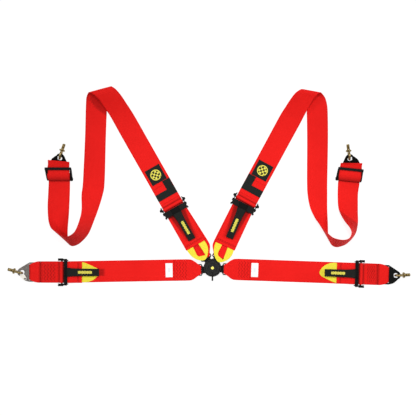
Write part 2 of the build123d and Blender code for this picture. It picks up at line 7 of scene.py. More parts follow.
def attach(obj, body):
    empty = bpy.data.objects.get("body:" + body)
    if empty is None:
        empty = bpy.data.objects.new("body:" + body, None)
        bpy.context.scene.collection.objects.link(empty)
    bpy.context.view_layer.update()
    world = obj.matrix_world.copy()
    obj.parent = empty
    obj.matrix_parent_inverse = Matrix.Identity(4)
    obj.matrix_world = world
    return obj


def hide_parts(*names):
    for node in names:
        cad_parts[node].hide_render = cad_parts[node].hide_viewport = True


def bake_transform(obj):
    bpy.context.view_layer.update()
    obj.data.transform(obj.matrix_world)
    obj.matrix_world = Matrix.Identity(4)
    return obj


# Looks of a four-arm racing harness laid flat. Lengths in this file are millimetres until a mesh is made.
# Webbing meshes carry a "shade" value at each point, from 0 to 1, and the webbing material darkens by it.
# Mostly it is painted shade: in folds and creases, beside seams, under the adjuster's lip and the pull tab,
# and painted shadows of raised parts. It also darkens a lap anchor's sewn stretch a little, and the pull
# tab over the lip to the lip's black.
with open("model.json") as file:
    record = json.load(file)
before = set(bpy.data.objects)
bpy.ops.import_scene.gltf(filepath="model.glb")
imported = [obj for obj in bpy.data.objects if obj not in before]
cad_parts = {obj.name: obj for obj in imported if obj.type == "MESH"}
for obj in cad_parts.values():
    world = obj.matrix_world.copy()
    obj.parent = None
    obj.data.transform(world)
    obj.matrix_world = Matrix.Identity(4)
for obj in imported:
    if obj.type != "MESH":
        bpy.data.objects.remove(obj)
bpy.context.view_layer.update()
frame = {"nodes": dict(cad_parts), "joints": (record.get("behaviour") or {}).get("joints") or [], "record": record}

MM = 0.001
UP = Vector((0, 0, 1))

# Webbing
WEB_HALF = 37.5  # half of the 75 mm webbing width
WEB_T = 1.6  # one layer
LAYER_1 = 0.8  # mid height of the layer on the surface
LAYER_2 = 2.4  # mid height of the layer sewn on top of it
TAIL_SEWN = 2.3  # mid height of the tail's end over the tail's underside: it lies on the yellow loop
TAPE_T = 1.2  # pull tab tape
LOOP_RUN = 44.0  # how far the yellow loop takes to rise to its full height
PATCH_T = 0.8
ROW_STEP = 4.0  # longest distance between rows of a ribbon
EDGE_ROUND = 0.8  # how far in from the selvedge the full thickness starts

# Places along each arm
TONGUE_BAR = (45.5, 11.5)
TONGUE_LOOP_R = 4.5
SEWN_END = 135.0
ANCHOR_BAR = (7.0, 7.5)
ANCHOR_LOOP_R = 4.1
SLIDING_BAR = (-4.5, 5.05)
SLIDING_LOOP_R = 4.25
BRACKET_LOOP_R = 4.7
SLOT_WEB_HALF = 27.0  # half width where the webbing is gathered for the bracket's slot
SEAM_BACK = 33.0  # where the lap anchor's two ends meet, from the bracket's bar
SEAM_GAP = 3.0
FREE_END_Z = 20.0  # height of the shoulder webbing's loose end, over the bracket
LIP_TOP = 13.0
TAB_END_Z = 11.0
TAB_HALF = 13.5
TAB_FLARE = 16.5
SHANK_R = 5.55
SHANK_END = 41.0
THREAD_PITCH = 1.27  # 20 threads to the inch
DEEP_SHADE = 0.12  # painted shade: the share of a cloth's dark colour left where the painted shade is full
TAIL_TURN = 3.5  # the right shoulder's tail lies a little askew, in degrees
SEAM_LIFT = 0.25  # stitches stand this far off the cloth
ANCHOR_SEAM_LIFT = 0.2

# What differs from arm to arm, apart from what the frame's joints say. side is 1 on the left. lip, tail
# and tab reach back from the adjuster, and the tail lies at height low. cast: the painted shadow past
# the tab's end. Laps: reach to the bracket's bar, and the painted shade at it. Shoulders: the slider's x,
# y and direction, the length of the free end, and the sideways lean of the webbing over the slider.
ARMS = {
    "left_lap": dict(side=1, lip=13.0, tail=63.0, low=2.0, tab=124.0, tab_turn=0.0, cast=1.0,
                     reach=115.0, end_shade=0.35),
    "right_lap": dict(side=-1, lip=13.0, tail=76.0, low=2.0, tab=119.0, tab_turn=0.0, cast=0.0,
                      reach=100.0, end_shade=0.1),
    "left_shoulder": dict(side=1, lip=22.0, tail=153.0, low=3.6, tab=129.0, tab_turn=0.0, cast=0.0,
                          free=27.0, end=(-535.5, 345.5, 90.0), lean=2.0),
    "right_shoulder": dict(side=-1, lip=22.0, tail=165.0, low=3.6, tab=133.0, tab_turn=5.0, cast=0.0,
                           free=22.0, end=(482.0, 343.0, 84.0), lean=-0.5),
}

# Edge points of the shoulder webbing after its front run: left edge x, y, z, right edge x, y, z.
# Over the top fold, down the leg, round the bottom turn and up the outer leg to the slider.
ROUTES = {
    "left_shoulder": [
        (-329, 479, 4, -264, 516, 6), (-352, 521, 7, -283, 548, 12),
        (-372, 553, 13, -300, 574, 20), (-392, 582, 22, -318, 601, 29),
        (-410, 601, 28, -335, 620.5, 31), (-424, 609.5, 25, -348, 630, 25),
        (-431, 611, 17, -354, 632, 15), (-436, 606, 8, -359, 627, 6),
        (-441, 594, 2, -364, 616, 0.8), (-442.5, 570, 0.8, -367, 590, 0.8),
        (-443.5, 540, 0.8, -369.5, 545, 0.8), (-446, 447, 0.8, -373, 447, 0.8),
        (-453, 300, 0.8, -377, 300, 0.8), (-456, 254, 17, -384, 254, 0.8),
        (-453, 203, 38, -399, 205, 0.8), (-458.5, 167, 53, -414, 165, 0.8),
        (-471.5, 131, 63, -434, 118, 0.8), (-487, 115.5, 67, -462, 87, 1),
        (-506, 110.6, 66, -484, 76, 2), (-528, 119, 59, -496, 78, 6),
        (-556, 137, 40, -500, 84, 8), (-566, 152, 28, -505, 100, 5),
        (-572, 172, 17, -506, 135, 1.5), (-576, 213, 5, -502, 187, 0.8),
        (-574.5, 262, 0.8, -499, 250, 0.8),
    ],
    "right_shoulder": [
        (237, 533, 6, 303, 497, 4), (254, 560, 12, 319, 528, 7),
        (270, 585, 20, 333, 555, 13), (286, 606, 28, 350, 586, 22),
        (299, 616.5, 30, 363, 602, 28), (308, 621, 25, 371.5, 608.5, 25),
        (314, 622, 15, 378, 610.5, 17), (319, 616, 6, 385, 606, 8),
        (324, 603, 0.8, 394, 595, 2), (328, 580, 0.8, 400, 577, 0.8),
        (330, 550, 0.8, 403.5, 545, 0.8), (331.5, 447, 0.8, 404.5, 447, 0.8),
        (331, 300, 0.8, 402, 300, 0.8), (333.5, 250, 3, 402, 255, 0.8),
        (341.6, 208, 10, 402, 205, 0.8), (357, 173, 24, 404, 150, 0.8),
        (366, 160, 32, 405, 112, 3), (375, 147, 41, 411, 89, 7),
        (395, 124, 56, 420, 77, 6), (412, 108, 65, 433, 72, 2),
        (432, 101, 68, 447, 74, 1), (452, 99, 69, 467, 82, 0.8),
        (470, 105, 67, 488, 101, 0.8), (478, 123, 64, 502, 122, 0.8),
        (472.5, 141, 58, 508, 146, 0.8), (457, 162, 49, 509.6, 167, 0.8),
        (444, 188, 33, 509, 191, 0.8), (438, 213, 18, 509, 216, 0.8),
        (438, 255, 2, 509.5, 257, 0.8),
    ],
}


# Camera

VIEW_WIDTH = 1456.0
VIEW_CENTRE = (-15.4, 208.6)
LENS = 85.0
SENSOR = 36.0

camera = bpy.data.objects.new("camera", bpy.data.cameras.new("camera"))
bpy.context.scene.collection.objects.link(camera)
camera.data.lens = LENS
camera.data.sensor_width = SENSOR
camera.location = (VIEW_CENTRE[0] * MM, VIEW_CENTRE[1] * MM, VIEW_WIDTH * LENS / SENSOR * MM)
bpy.context.scene.camera = camera


# Frames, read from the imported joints

joints = {j["name"]: j for j in frame["joints"]}
mounts = {m["name"]: m for m in frame["record"]["mounts"]}


def joint_pos(name):
    return Vector(joints[name]["pos_m"]) / MM


def joint_axis(name):
    return Vector(joints[name]["axis"])


def axes_frame(origin, u, v):
    """Matrix with u and v as its first two axes, in millimetres."""
    w = u.cross(v)
    rows = [(u[i], v[i], w[i], origin[i]) for i in range(3)]
    return Matrix(rows + [(0, 0, 0, 1)])


def turned(matrix, degrees):
    return matrix @ Matrix.Rotation(math.radians(degrees), 4, "Z")


def adjuster_frame(name):
    """u = 0 is the edge between the adjuster's lip and its roll of webbing, z = 0 the surface."""
    u = -joint_axis(name + "_bar_slide")
    pivot = joint_pos(name + "_adjuster_tilt")
    origin = pivot - u * ANCHOR_BAR[0] - UP * ANCHOR_BAR[1]
    return axes_frame(origin, u, UP.cross(u))


def arm_frame(name):
    """u runs from the buckle's axis along the strap to the adjuster."""
    u = joint_axis(name + "_release")
    near = adjuster_frame(name).translation
    return axes_frame(near - u * near.dot(u), u, UP.cross(u))


def tail_frame(name):
    """The adjuster's place, turned to the direction of the strap's tail."""
    near = adjuster_frame(name)
    if name != "right_shoulder":
        return near
    return turned(near, TAIL_TURN)


def bracket_floor_frame(name):
    v = -joint_axis(name + "_bracket_swing")
    origin = joint_pos(name + "_bracket_swing")
    origin.z = 0.0
    return axes_frame(origin, v.cross(UP), v)


def end_frame(name):
    x, y, angle = ARMS[name]["end"]
    return Matrix.Translation((x, y, 0)) @ Matrix.Rotation(math.radians(angle), 4, "Z")


def bolt_frame(name):
    u = Vector(mounts[name + "_bolt_shank"]["axis"])
    return axes_frame(joint_pos(name + "_eye_bolt_swing"), u, -joint_axis(name + "_eye_bolt_swing"))


# Mesh helpers

def add_mesh(name, points, faces, material, uvs=None, smooth=True, shades=None):
    """A mesh object from points in millimetres. uvs and shades hold one value for each point."""
    mesh = bpy.data.meshes.new(name)
    mesh.from_pydata([Vector(p) * MM for p in points], [], faces)
    if uvs:
        layer = mesh.uv_layers.new(name="along_across")
        for loop in mesh.loops:
            layer.data[loop.index].uv = uvs[loop.vertex_index]
    if shades:
        mesh.attributes.new("shade", "FLOAT", "POINT").data.foreach_set("value", shades)
    mesh.materials.append(material)
    mesh.polygons.foreach_set("use_smooth", [smooth] * len(mesh.polygons))
    mesh.validate()
    obj = bpy.data.objects.new(name, mesh)
    bpy.context.scene.collection.objects.link(obj)
    return obj


def taper(value, stops):
    """Straight-line interpolation through (value, result) stops, held flat beyond them."""
    if value <= stops[0][0]:
        return stops[0][1]
    for (a, x), (b, y) in zip(stops, stops[1:]):
        if value <= b:
            return x + (y - x) * (value - a) / (b - a)
    return stops[-1][1]


def ease(t):
    t = min(1.0, max(0.0, t))
    return t * t * (3 - 2 * t)


def arc(centre, radius, start, end, step=15.0, wide=1.0):
    """Points (u, z) on an arc in the arm's side view, angles in degrees. wide stretches it along u."""
    count = max(2, round(abs(end - start) / step))
    angles = [math.radians(start + (end - start) * k / count) for k in range(count + 1)]
    return [(centre[0] + wide * radius * math.cos(a), centre[1] + radius * math.sin(a)) for a in angles]


def rows_of(matrix, path, half):
    """Left and right edge points for a path of (u, z). half is a number or a function of u."""
    rows = []
    for u, z in path:
        h = half(u) if callable(half) else half
        rows.append((matrix @ Vector((u, h, z)), matrix @ Vector((u, -h, z))))
    return rows


def rounded(rows, times=2):
    """Corner cutting, so that a path of few points bends softly."""
    for _ in range(times):
        cut = [rows[0]]
        for (l0, r0), (l1, r1) in zip(rows, rows[1:]):
            cut.append((l0.lerp(l1, 0.25), r0.lerp(r1, 0.25)))
            cut.append((l0.lerp(l1, 0.75), r0.lerp(r1, 0.75)))
        cut.append(rows[-1])
        rows = cut
    return rows


def even(rows, step=ROW_STEP):
    """More rows wherever two are further apart than step."""
    fine = [rows[0]]
    for (l0, r0), (l1, r1) in zip(rows, rows[1:]):
        gap = max((l1 - l0).length, (r1 - r0).length)
        count = max(1, math.ceil(gap / step))
        for k in range(1, count + 1):
            fine.append((l0.lerp(l1, k / count), r0.lerp(r1, k / count)))
    return fine


def catmull(stations, steps=6):
    """Smooth curve through rows of edge points, kept above the surface."""
    rows = [stations[0]] + list(stations) + [stations[-1]]
    fine = []
    for p0, p1, p2, p3 in zip(rows, rows[1:], rows[2:], rows[3:]):
        for k in range(steps):
            t = k / steps
            pair = []
            for a, b, c, d in zip(p0, p1, p2, p3):
                q = 2 * b + (c - a) * t + (2 * a - 5 * b + 4 * c - d) * t ** 2
                q = 0.5 * (q + (3 * b - a - 3 * c + d) * t ** 3)
                q.z = max(q.z, LAYER_1)
                pair.append(q)
            fine.append(tuple(pair))
    fine.append(stations[-1])
    return fine


def across_stops(half, count):
    """Places across a ribbon from -1 to 1, closer at the selvedges, and the share of thickness at each."""
    edge = min(0.45, EDGE_ROUND / half)
    outer = [(1.0, 0.0), (1.0 - 0.12 * edge, 0.5), (1.0 - 0.45 * edge, 0.85), (1.0 - edge, 1.0)]
    inner = [((1 - edge) * (1 - 2 * k / count), 1.0) for k in range(1, count)]
    return outer + inner + [(-s, t) for s, t in reversed(outer)]


def ribbon(name, rows, material, thick=WEB_T, across=10, crown=0.0, ripple=0.0, shade=None):
    """Closed strip of webbing. rows are (left, right) edge points, and crown lifts the strip's middle.

    shade is a function that gives how dark the cloth is painted at a point, from 0 to 1: mostly painted shade.
    """
    half = (rows[0][0] - rows[0][1]).length / 2
    stops = across_stops(max(half, 5.0), across)
    points = []
    uvs = []
    distance = 0.0
    middle = None
    for i, (left, right) in enumerate(rows):
        before = rows[max(i - 1, 0)]
        after = rows[min(i + 1, len(rows) - 1)]
        along = (after[0] + after[1]) - (before[0] + before[1])
        normal = along.cross(left - right).normalized()
        centre = (left + right) / 2
        if middle:
            distance += (centre - middle).length
        middle = centre
        width = (left - right).length / 2
        wave = ripple * math.sin(distance / 37.0) * math.sin(distance / 91.0 + 1.0)
        ring = [(s, t) for s, t in stops] + [(s, -t) for s, t in reversed(stops[1:-1])]
        for s, t in ring:
            lift = crown * (1 - s * s) + wave * s
            points.append(centre + (left - right) / 2 * s + normal * (thick / 2 * t + lift))
            uvs.append((distance * MM, s * width * MM))
    size = 2 * len(stops) - 2
    faces = []
    for i in range(len(rows) - 1):
        for k in range(size):
            a = i * size + k
            b = i * size + (k + 1) % size
            faces.append((a, a + size, b + size, b))
    last = (len(rows) - 1) * size
    top = len(stops) - 1
    for k in range(top):
        a, b = k, k + 1
        c, d = (size - k - 1) % size, (size - k) % size
        start = [a, b, c, d] if k < top - 1 else [a, b, d]
        start = [a, b, c] if k == 0 else start
        faces.append(start)
        faces.append([last + n for n in reversed(start)])
    shades = [shade(point) for point in points] if shade else None
    return add_mesh(name, points, faces, material, uvs, shades=shades)


def ribbon_length(rows):
    mids = [(left + right) / 2 for left, right in rows]
    return sum((b - a).length for a, b in zip(mids, mids[1:]))


# Materials

WEB_ROUGHNESS = 0.7


class Nodes:
    """Short names for the few shader nodes that the materials use."""

    def __init__(self, name):
        self.material = bpy.data.materials.new(name)
        self.material.use_nodes = True
        self.tree = self.material.node_tree
        self.shader = self.tree.nodes["Principled BSDF"]

    def add(self, kind, **settings):
        node = self.tree.nodes.new(kind)
        for key, value in settings.items():
            setattr(node, key, value)
        return node

    def link(self, source, target):
        self.tree.links.new(source, target)

    def put(self, value, socket):
        if isinstance(value, (int, float)):
            socket.default_value = value
        else:
            self.link(value, socket)

    def math(self, operation, a, b=0.0):
        node = self.add("ShaderNodeMath", operation=operation)
        for value, socket in zip((a, b), node.inputs):
            self.put(value, socket)
        return node.outputs[0]

    def mix(self, factor, a, b):
        node = self.add("ShaderNodeMix", data_type="RGBA")
        self.put(factor, node.inputs["Factor"])
        for value, socket in ((a, node.inputs["A"]), (b, node.inputs["B"])):
            if isinstance(value, tuple):
                socket.default_value = (*value, 1.0)
            else:
                self.link(value, socket)
        return node.outputs["Result"]

    def noise(self, scale, detail):
        node = self.add("ShaderNodeTexNoise")
        node.inputs["Scale"].default_value = scale
        node.inputs["Detail"].default_value = detail
        self.link(self.add("ShaderNodeTexCoord").outputs["Object"], node.inputs["Vector"])
        return node.outputs[0]

    def range(self, value, low, high, new_low=0.0, new_high=1.0):
        node = self.add("ShaderNodeMapRange")
        self.link(value, node.inputs["Value"])
        limits = {"From Min": low, "From Max": high, "To Min": new_low, "To Max": new_high}
        for socket, number in limits.items():
            node.inputs[socket].default_value = number
        return node.outputs["Result"]

    def bump(self, height, distance, strength):
        node = self.add("ShaderNodeBump")
        node.inputs["Distance"].default_value = distance
        node.inputs["Strength"].default_value = strength
        self.link(height, node.inputs["Height"])
        self.link(node.outputs["Normal"], self.shader.inputs["Normal"])

    def along_across(self):
        """Millimetres along and across a ribbon, from its UV map."""
        uv = self.add("ShaderNodeSeparateXYZ")
        self.link(self.add("ShaderNodeTexCoord").outputs["UV"], uv.inputs[0])
        return [self.math("MULTIPLY", uv.outputs[axis], 1000.0) for axis in "XY"]

    def set(self, **values):
        for key, value in values.items():
            self.shader.inputs[key.replace("_", " ")].default_value = value


def webbing_material(name, colour, dark, half=WEB_HALF, band=9.4, sheen=0.06):
    """Woven polyester: herringbone ribs and denser selvedges, from the along and across coordinates."""
    n = Nodes(name)
    along, across = n.along_across()
    zigzag = n.math("PINGPONG", n.math("ADD", across, 400.0), band)
    phase = n.math("ADD", n.math("DIVIDE", along, 1.5), n.math("DIVIDE", zigzag, 1.9))
    twill = n.range(n.math("SINE", n.math("MULTIPLY", phase, 2 * math.pi)), -1.0, 1.0)
    yarn = n.range(n.math("SINE", n.math("MULTIPLY", across, 2 * math.pi / 1.05)), -1.0, 1.0)
    weave = n.math("ADD", n.math("MULTIPLY", twill, 0.65), n.math("MULTIPLY", yarn, 0.35))
    edge = n.range(n.math("ABSOLUTE", across), half - 3.4, half - 2.6)
    fold = n.range(n.math("ABSOLUTE", n.math("SUBTRACT", zigzag, band / 2)), band / 2 - 0.5, band / 2)
    height = n.math("SUBTRACT", weave, n.math("MULTIPLY", edge, 0.35))
    height = n.math("SUBTRACT", height, n.math("MULTIPLY", fold, 0.3))
    fuzz = n.noise(2600.0, 2.0)
    height = n.math("ADD", height, n.math("MULTIPLY", fuzz, 0.25))
    # Random darker blotches across the cloth.
    blotches = n.noise(9.0, 4.0)
    # Darker where the weave lies low: the weave's own pattern, with painted shade in its hollows.
    hollow_shade = n.range(height, 0.15, 1.0, 0.75, 0.0)
    cloth = n.mix(hollow_shade, colour, dark)
    cloth = n.mix(n.range(blotches, 0.35, 0.7, 0.0, 0.3), cloth, dark)
    cloth = n.mix(n.math("MULTIPLY", edge, 0.25), cloth, dark)
    # Painted shade: each point's shade value darkens the cloth towards DEEP_SHADE of its dark colour.
    shade = n.add("ShaderNodeAttribute", attribute_name="shade")
    cloth = n.mix(shade.outputs["Fac"], cloth, tuple(DEEP_SHADE * c for c in dark))
    n.link(cloth, n.shader.inputs["Base Color"])
    n.link(n.range(weave, 0.0, 1.0, WEB_ROUGHNESS + 0.12, WEB_ROUGHNESS - 0.06),
           n.shader.inputs["Roughness"])
    n.set(Sheen_Weight=sheen, Sheen_Roughness=0.45, Specular_IOR_Level=0.12)
    n.shader.inputs["Sheen Tint"].default_value = (*[min(1.0, c + 0.3) for c in colour], 1.0)
    n.bump(height, 0.00022, 0.8)
    return n.material


def thread_material(name, colour, dark):
    n = Nodes(name)
    strands = n.noise(1800.0, 2.0)
    n.link(n.mix(n.range(strands, 0.3, 0.7), dark, colour), n.shader.inputs["Base Color"])
    n.set(Roughness=0.6, Sheen_Weight=0.03, Specular_IOR_Level=0.12)
    n.bump(strands, 0.0001, 0.7)
    return n.material


def coated_material(name, colour, light, roughness=0.38, grain=900.0, coat=0.2, specular=0.3):
    """Powder coat or anodising: fine grain, a little dust, and lighter rubbed patches."""
    n = Nodes(name)
    fine = n.noise(grain, 2.0)
    broad = n.noise(35.0, 4.0)
    rubbed = n.range(broad, 0.55, 0.75, 0.0, 0.55)
    n.link(n.mix(rubbed, colour, light), n.shader.inputs["Base Color"])
    n.link(n.range(broad, 0.3, 0.7, roughness - 0.06, roughness + 0.1), n.shader.inputs["Roughness"])
    n.set(Coat_Weight=coat, Coat_Roughness=0.25, Specular_IOR_Level=specular)
    n.bump(fine, 0.00012, 0.35)
    return n.material


def plated_material(name, colours, roughness, metallic=1.0):
    """Plated steel: cloudy passivation colours, fine grain and small stains."""
    n = Nodes(name)
    cloud = n.noise(110.0, 3.0)
    stain = n.noise(420.0, 4.0)
    tone = n.mix(n.range(cloud, 0.38, 0.62), colours[0], colours[1])
    tone = n.mix(n.range(stain, 0.55, 0.7, 0.0, 0.6), tone, colours[2])
    n.link(tone, n.shader.inputs["Base Color"])
    grain = n.noise(900.0, 2.0)
    n.link(n.range(grain, 0.3, 0.7, roughness - 0.08, roughness + 0.12), n.shader.inputs["Roughness"])
    n.set(Metallic=metallic)
    n.bump(grain, 0.00006, 0.4)
    return n.material


def label_material(name):
    """White woven label with faint grey lines of no meaning."""
    n = Nodes(name)
    along, across = n.along_across()
    lines = n.range(n.math("SINE", n.math("MULTIPLY", along, 2 * math.pi / 3.2)), 0.55, 0.8)
    short = n.range(n.math("ABSOLUTE", across), 7.0, 7.5, 1.0, 0.0)
    inside = n.range(n.math("ABSOLUTE", n.math("SUBTRACT", along, 12.0)), 4.6, 4.8, 1.0, 0.0)
    print_mask = n.math("MULTIPLY", n.math("MULTIPLY", lines, short), inside)
    weave = n.math("SINE", n.math("MULTIPLY", across, 2 * math.pi / 0.5))
    n.link(n.mix(n.math("MULTIPLY", print_mask, 0.7), (0.86, 0.86, 0.86), (0.3, 0.32, 0.36)),
           n.shader.inputs["Base Color"])
    n.set(Roughness=0.55, Sheen_Weight=0.1)
    n.bump(weave, 0.00004, 0.4)
    return n.material


RED = (0.88, 0.012, 0.009)
RED_DARK = (0.62, 0.004, 0.003)
YELLOW = (0.90, 0.80, 0.060)
YELLOW_DARK = (0.66, 0.54, 0.030)
BLACK = (0.014, 0.016, 0.014)
BLACK_DARK = (0.005, 0.006, 0.005)

red_web = webbing_material("red_webbing", RED, RED_DARK)
yellow_web = webbing_material("yellow_tape", YELLOW, YELLOW_DARK, half=14.0, band=4.0)
black_tape = webbing_material("black_tape", BLACK, BLACK_DARK, half=14.5, band=3.3, sheen=0.1)
black_cloth = webbing_material("black_badge_cloth", (0.018, 0.020, 0.018), BLACK_DARK, half=200.0,
                               band=1.6, sheen=0.12)
red_thread = thread_material("red_thread", (0.30, 0.003, 0.003), (0.16, 0.002, 0.002))
black_thread = thread_material("black_thread", (0.035, 0.036, 0.035), (0.01, 0.01, 0.01))
yellow_thread = thread_material("yellow_thread", (0.88, 0.82, 0.14), (0.62, 0.55, 0.06))
buckle_black = coated_material("buckle_black", (0.003, 0.003, 0.003), (0.009, 0.009, 0.009),
                               0.34, 1500.0, 0.0, specular=0.18)
black_steel = coated_material("black_steel", (0.002, 0.002, 0.002), (0.006, 0.006, 0.005),
                              0.45, coat=0.0, specular=0.1)
grey_steel = plated_material("grey_steel",
                             ((0.155, 0.14, 0.128), (0.20, 0.18, 0.165), (0.09, 0.08, 0.072)), 0.5)
bright_zinc = plated_material("bright_zinc",
                              ((0.95, 0.90, 0.80), (0.86, 0.82, 0.74), (0.42, 0.38, 0.32)), 0.4,
                              metallic=0.15)
yellow_zinc = plated_material("yellow_zinc",
                              ((0.34, 0.25, 0.10), (0.20, 0.14, 0.055), (0.30, 0.30, 0.15)), 0.34)
label_cloth = label_material("label_cloth")
badge_gloss = coated_material("badge_gloss", (0.86, 0.78, 0.10), (0.92, 0.88, 0.35), 0.22, 1200.0, 0.8)

SLOT_MATERIAL = {
    "buckle_black": buckle_black,
    "badge_yellow": badge_gloss,
    "bare_steel": bright_zinc,
    "black_steel": black_steel,
    "grey_steel": grey_steel,
    "yellow_zinc": yellow_zinc,
}


# CAD nodes that stay: a better material, and eased edges

EASED = {"housing": 0.5, "release_knob": 0.5, "release_lever": 0.3, "back_plate": 0.4,
         "_adjuster_frame": 0.7, "_bracket": 0.45, "_gate": 0.35, "_slider": 1.1, "_tongue": 0.4,
         "_sliding_bar": 0.4}


def dress_nodes():
    for part in frame["record"]["subparts"]:
        node = frame["nodes"][part["node"]]
        material = SLOT_MATERIAL.get(part["material_slot"])
        if material is None:
            continue
        node.data.materials.clear()
        node.data.materials.append(material)
        for ending, width in EASED.items():
            if part["node"].endswith(ending):
                bevel = node.modifiers.new("eased_edges", "BEVEL")
                bevel.width = width * MM
                bevel.segments = 2
                bevel.limit_method = "ANGLE"
                bevel.angle_limit = math.radians(35)
                bevel.harden_normals = False


# Stitching

STITCH = 3.3
STITCH_GAP = 0.7
THREAD_R = 0.42
TEETH = 9  # zigzags across the webbing in each row
# Along one stitch: place along it, share of its radius, height in radii.
STITCH_RINGS = ((0.0, 0.3, -0.35), (0.22, 0.95, 0.1), (0.5, 1.0, 0.28), (0.78, 0.95, 0.1),
                (1.0, 0.3, -0.35))


def stitch_mesh(name, lines, material, size=1.0):
    """Rows of separate stitches. Each line is (start, end, normal) on the cloth's surface."""
    points = []
    faces = []
    for start, end, normal in lines:
        run = end - start
        count = max(1, round(run.length / (STITCH * size)))
        step = run / count
        along = step.normalized()
        side = normal.cross(along).normalized()
        for k in range(count):
            base = len(points)
            first = start + step * k + along * (STITCH_GAP / 2)
            length = step.length - STITCH_GAP
            for t, wide, lift in STITCH_RINGS:
                centre = first + along * (length * t) + normal * (lift * THREAD_R)
                for m in range(6):
                    a = math.pi * m / 3
                    offset = side * math.cos(a) + normal * math.sin(a) * 0.8
                    points.append(centre + offset * (wide * THREAD_R * size))
            for r in range(len(STITCH_RINGS) - 1):
                for m in range(6):
                    p = base + r * 6 + m
                    q = base + r * 6 + (m + 1) % 6
                    faces.append((p, q, q + 6, p + 6))
            faces.append([base + m for m in range(6)][::-1])
            faces.append([base + 6 * (len(STITCH_RINGS) - 1) + m for m in range(6)])
    return add_mesh(name, points, faces, material)


def polyline(matrix, z, places):
    """Stitch lines through (u, v) places at one height."""
    normal = (matrix.to_3x3() @ UP).normalized()
    spots = [matrix @ Vector((u, v, z)) for u, v in places]
    return [(a, b, normal) for a, b in zip(spots, spots[1:])]


def zigzag_rows(matrix, z, u_low, u_high, half, count):
    """Zigzag rows across the webbing, as on load-bearing seams."""
    lines = []
    pitch = (u_high - u_low) / count
    for row in range(count):
        low = u_low + pitch * (row + 0.14)
        high = u_low + pitch * (row + 0.86)
        places = [(low if k % 2 else high, -half + 2 * half * k / TEETH) for k in range(TEETH + 1)]
        lines += polyline(matrix, z, places)
    return lines


def box_lines(matrix, z, u_low, u_high, v_low, v_high):
    corners = [(u_low, v_low), (u_high, v_low), (u_high, v_high), (u_low, v_high), (u_low, v_low)]
    return polyline(matrix, z, corners)


# Painted shade in folds, creases and seams, and painted shadows of raised parts

# Distance along the adjuster's frame against painted shade: dark where the roll goes under the lip, and in the
# crease behind the roll.
ROLL_SHADE = ((1.0, 0.9), (3.0, 0.6), (5.5, 0.28), (8.5, 0.0), (11.5, 0.04), (14.5, 0.32), (17.0, 0.6),
              (19.0, 0.25), (22.0, 0.08), (26.0, 0.0))
# Distance along the end frame against painted shade: from under the slider's fold up to its top bar.
BULGE_SHADE = ((-52, 0.0), (-45, 0.12), (-41.8, 0.6), (-39, 0.55), (-33, 0.3), (-25, 0.08),
               (-16, 0.0), (-9, 0.05), (-5, 0.5), (4.6, 0.4), (8, 0.08), (12, 0.0))
# Painted shadow of the left shoulder's front run where it overhangs its leg: x against the y above which the leg
# is shaded.
OVERHANG = ((-431, 601), (-423, 577), (-408, 556), (-393, 543), (-378, 534), (-371, 529), (-365, 525))
OVERHANG_X = -362.0  # the leg under the overhang lies left of this
OVERHANG_Y = 500.0  # and above this
OVERHANG_SHADOW = 0.3
# Painted shade along the creases across the outer legs: a point on each, and its slope.
LEFT_CREASE = (-553.7, 138.8, -0.586)
LEFT_CREASE_X = -500.0  # the left outer leg lies left of this
LEFT_CREASE_SHADE = 0.4
RIGHT_CREASE = (437.0, 205.9, -0.686)
RIGHT_CREASE_X = 436.0  # the right outer leg lies right of this
RIGHT_CREASE_SHADE = 0.34
# y against painted shade at the bottom turns, by side.
BOTTOM_SHADE = {1: ((75, 0.36), (110, 0.30), (150, 0.14), (190, 0.0)),
                -1: ((75, 0.10), (110, 0.10), (190, 0.0))}
SEAM_SHADE = 0.45  # painted shade at a lap anchor's seam
SEWN_DEPTH = 0.10  # where its two layers are sewn together
NEAR_HARDWARE = 60.0  # the adjuster's and the slider's painted shades reach this far
# Painted shade under the pull tab: half width at the lip, half width at the tab's end, darkness.
LAP_TAB_SHADE = (17.0, 15.5, 0.3)
SHOULDER_TAB_SHADE = (31.0, 16.0, 0.68)
TAB_CAST_SHADOW = 0.42  # painted shadow past the left lap tab's end
LIP_WEDGE_SHADE = 0.97  # nearly black painted shade beside the tab, under a shoulder's long lip


def line_y(line, x):
    """y at x on a line through (x0, y0) with a slope."""
    x0, y0, slope = line
    return y0 + slope * (x - x0)


def roll_shade(near, point):
    return taper((near @ point).x, ROLL_SHADE)


# Painted shade on a lap anchor: under the lip, in the crease behind the roll, at the seam and beside the bracket.
# The sewn stretch between is a little darker.
def lap_anchor_shade(name, arm):
    near = adjuster_frame(name).inverted()
    reach = arm["reach"]
    seam = reach - SEAM_BACK
    stops = ((seam - 4.4, 0.0), (seam - 2.0, SEAM_SHADE), (seam + 2.0, SEAM_SHADE), (seam + 4.4, 0.0),
             (reach - 1, 0.0), (reach + 3, arm["end_shade"]), (reach + 6, arm["end_shade"] + 0.15))
    sewn = ((26, 0.0), (30, SEWN_DEPTH), (seam - 10, SEWN_DEPTH), (seam - 5, 0.0))

    def shade(point):
        u = (near @ point).x
        return max(roll_shade(near, point), taper(u, stops), taper(u, sewn) if u > 20 else 0.0)

    return shade


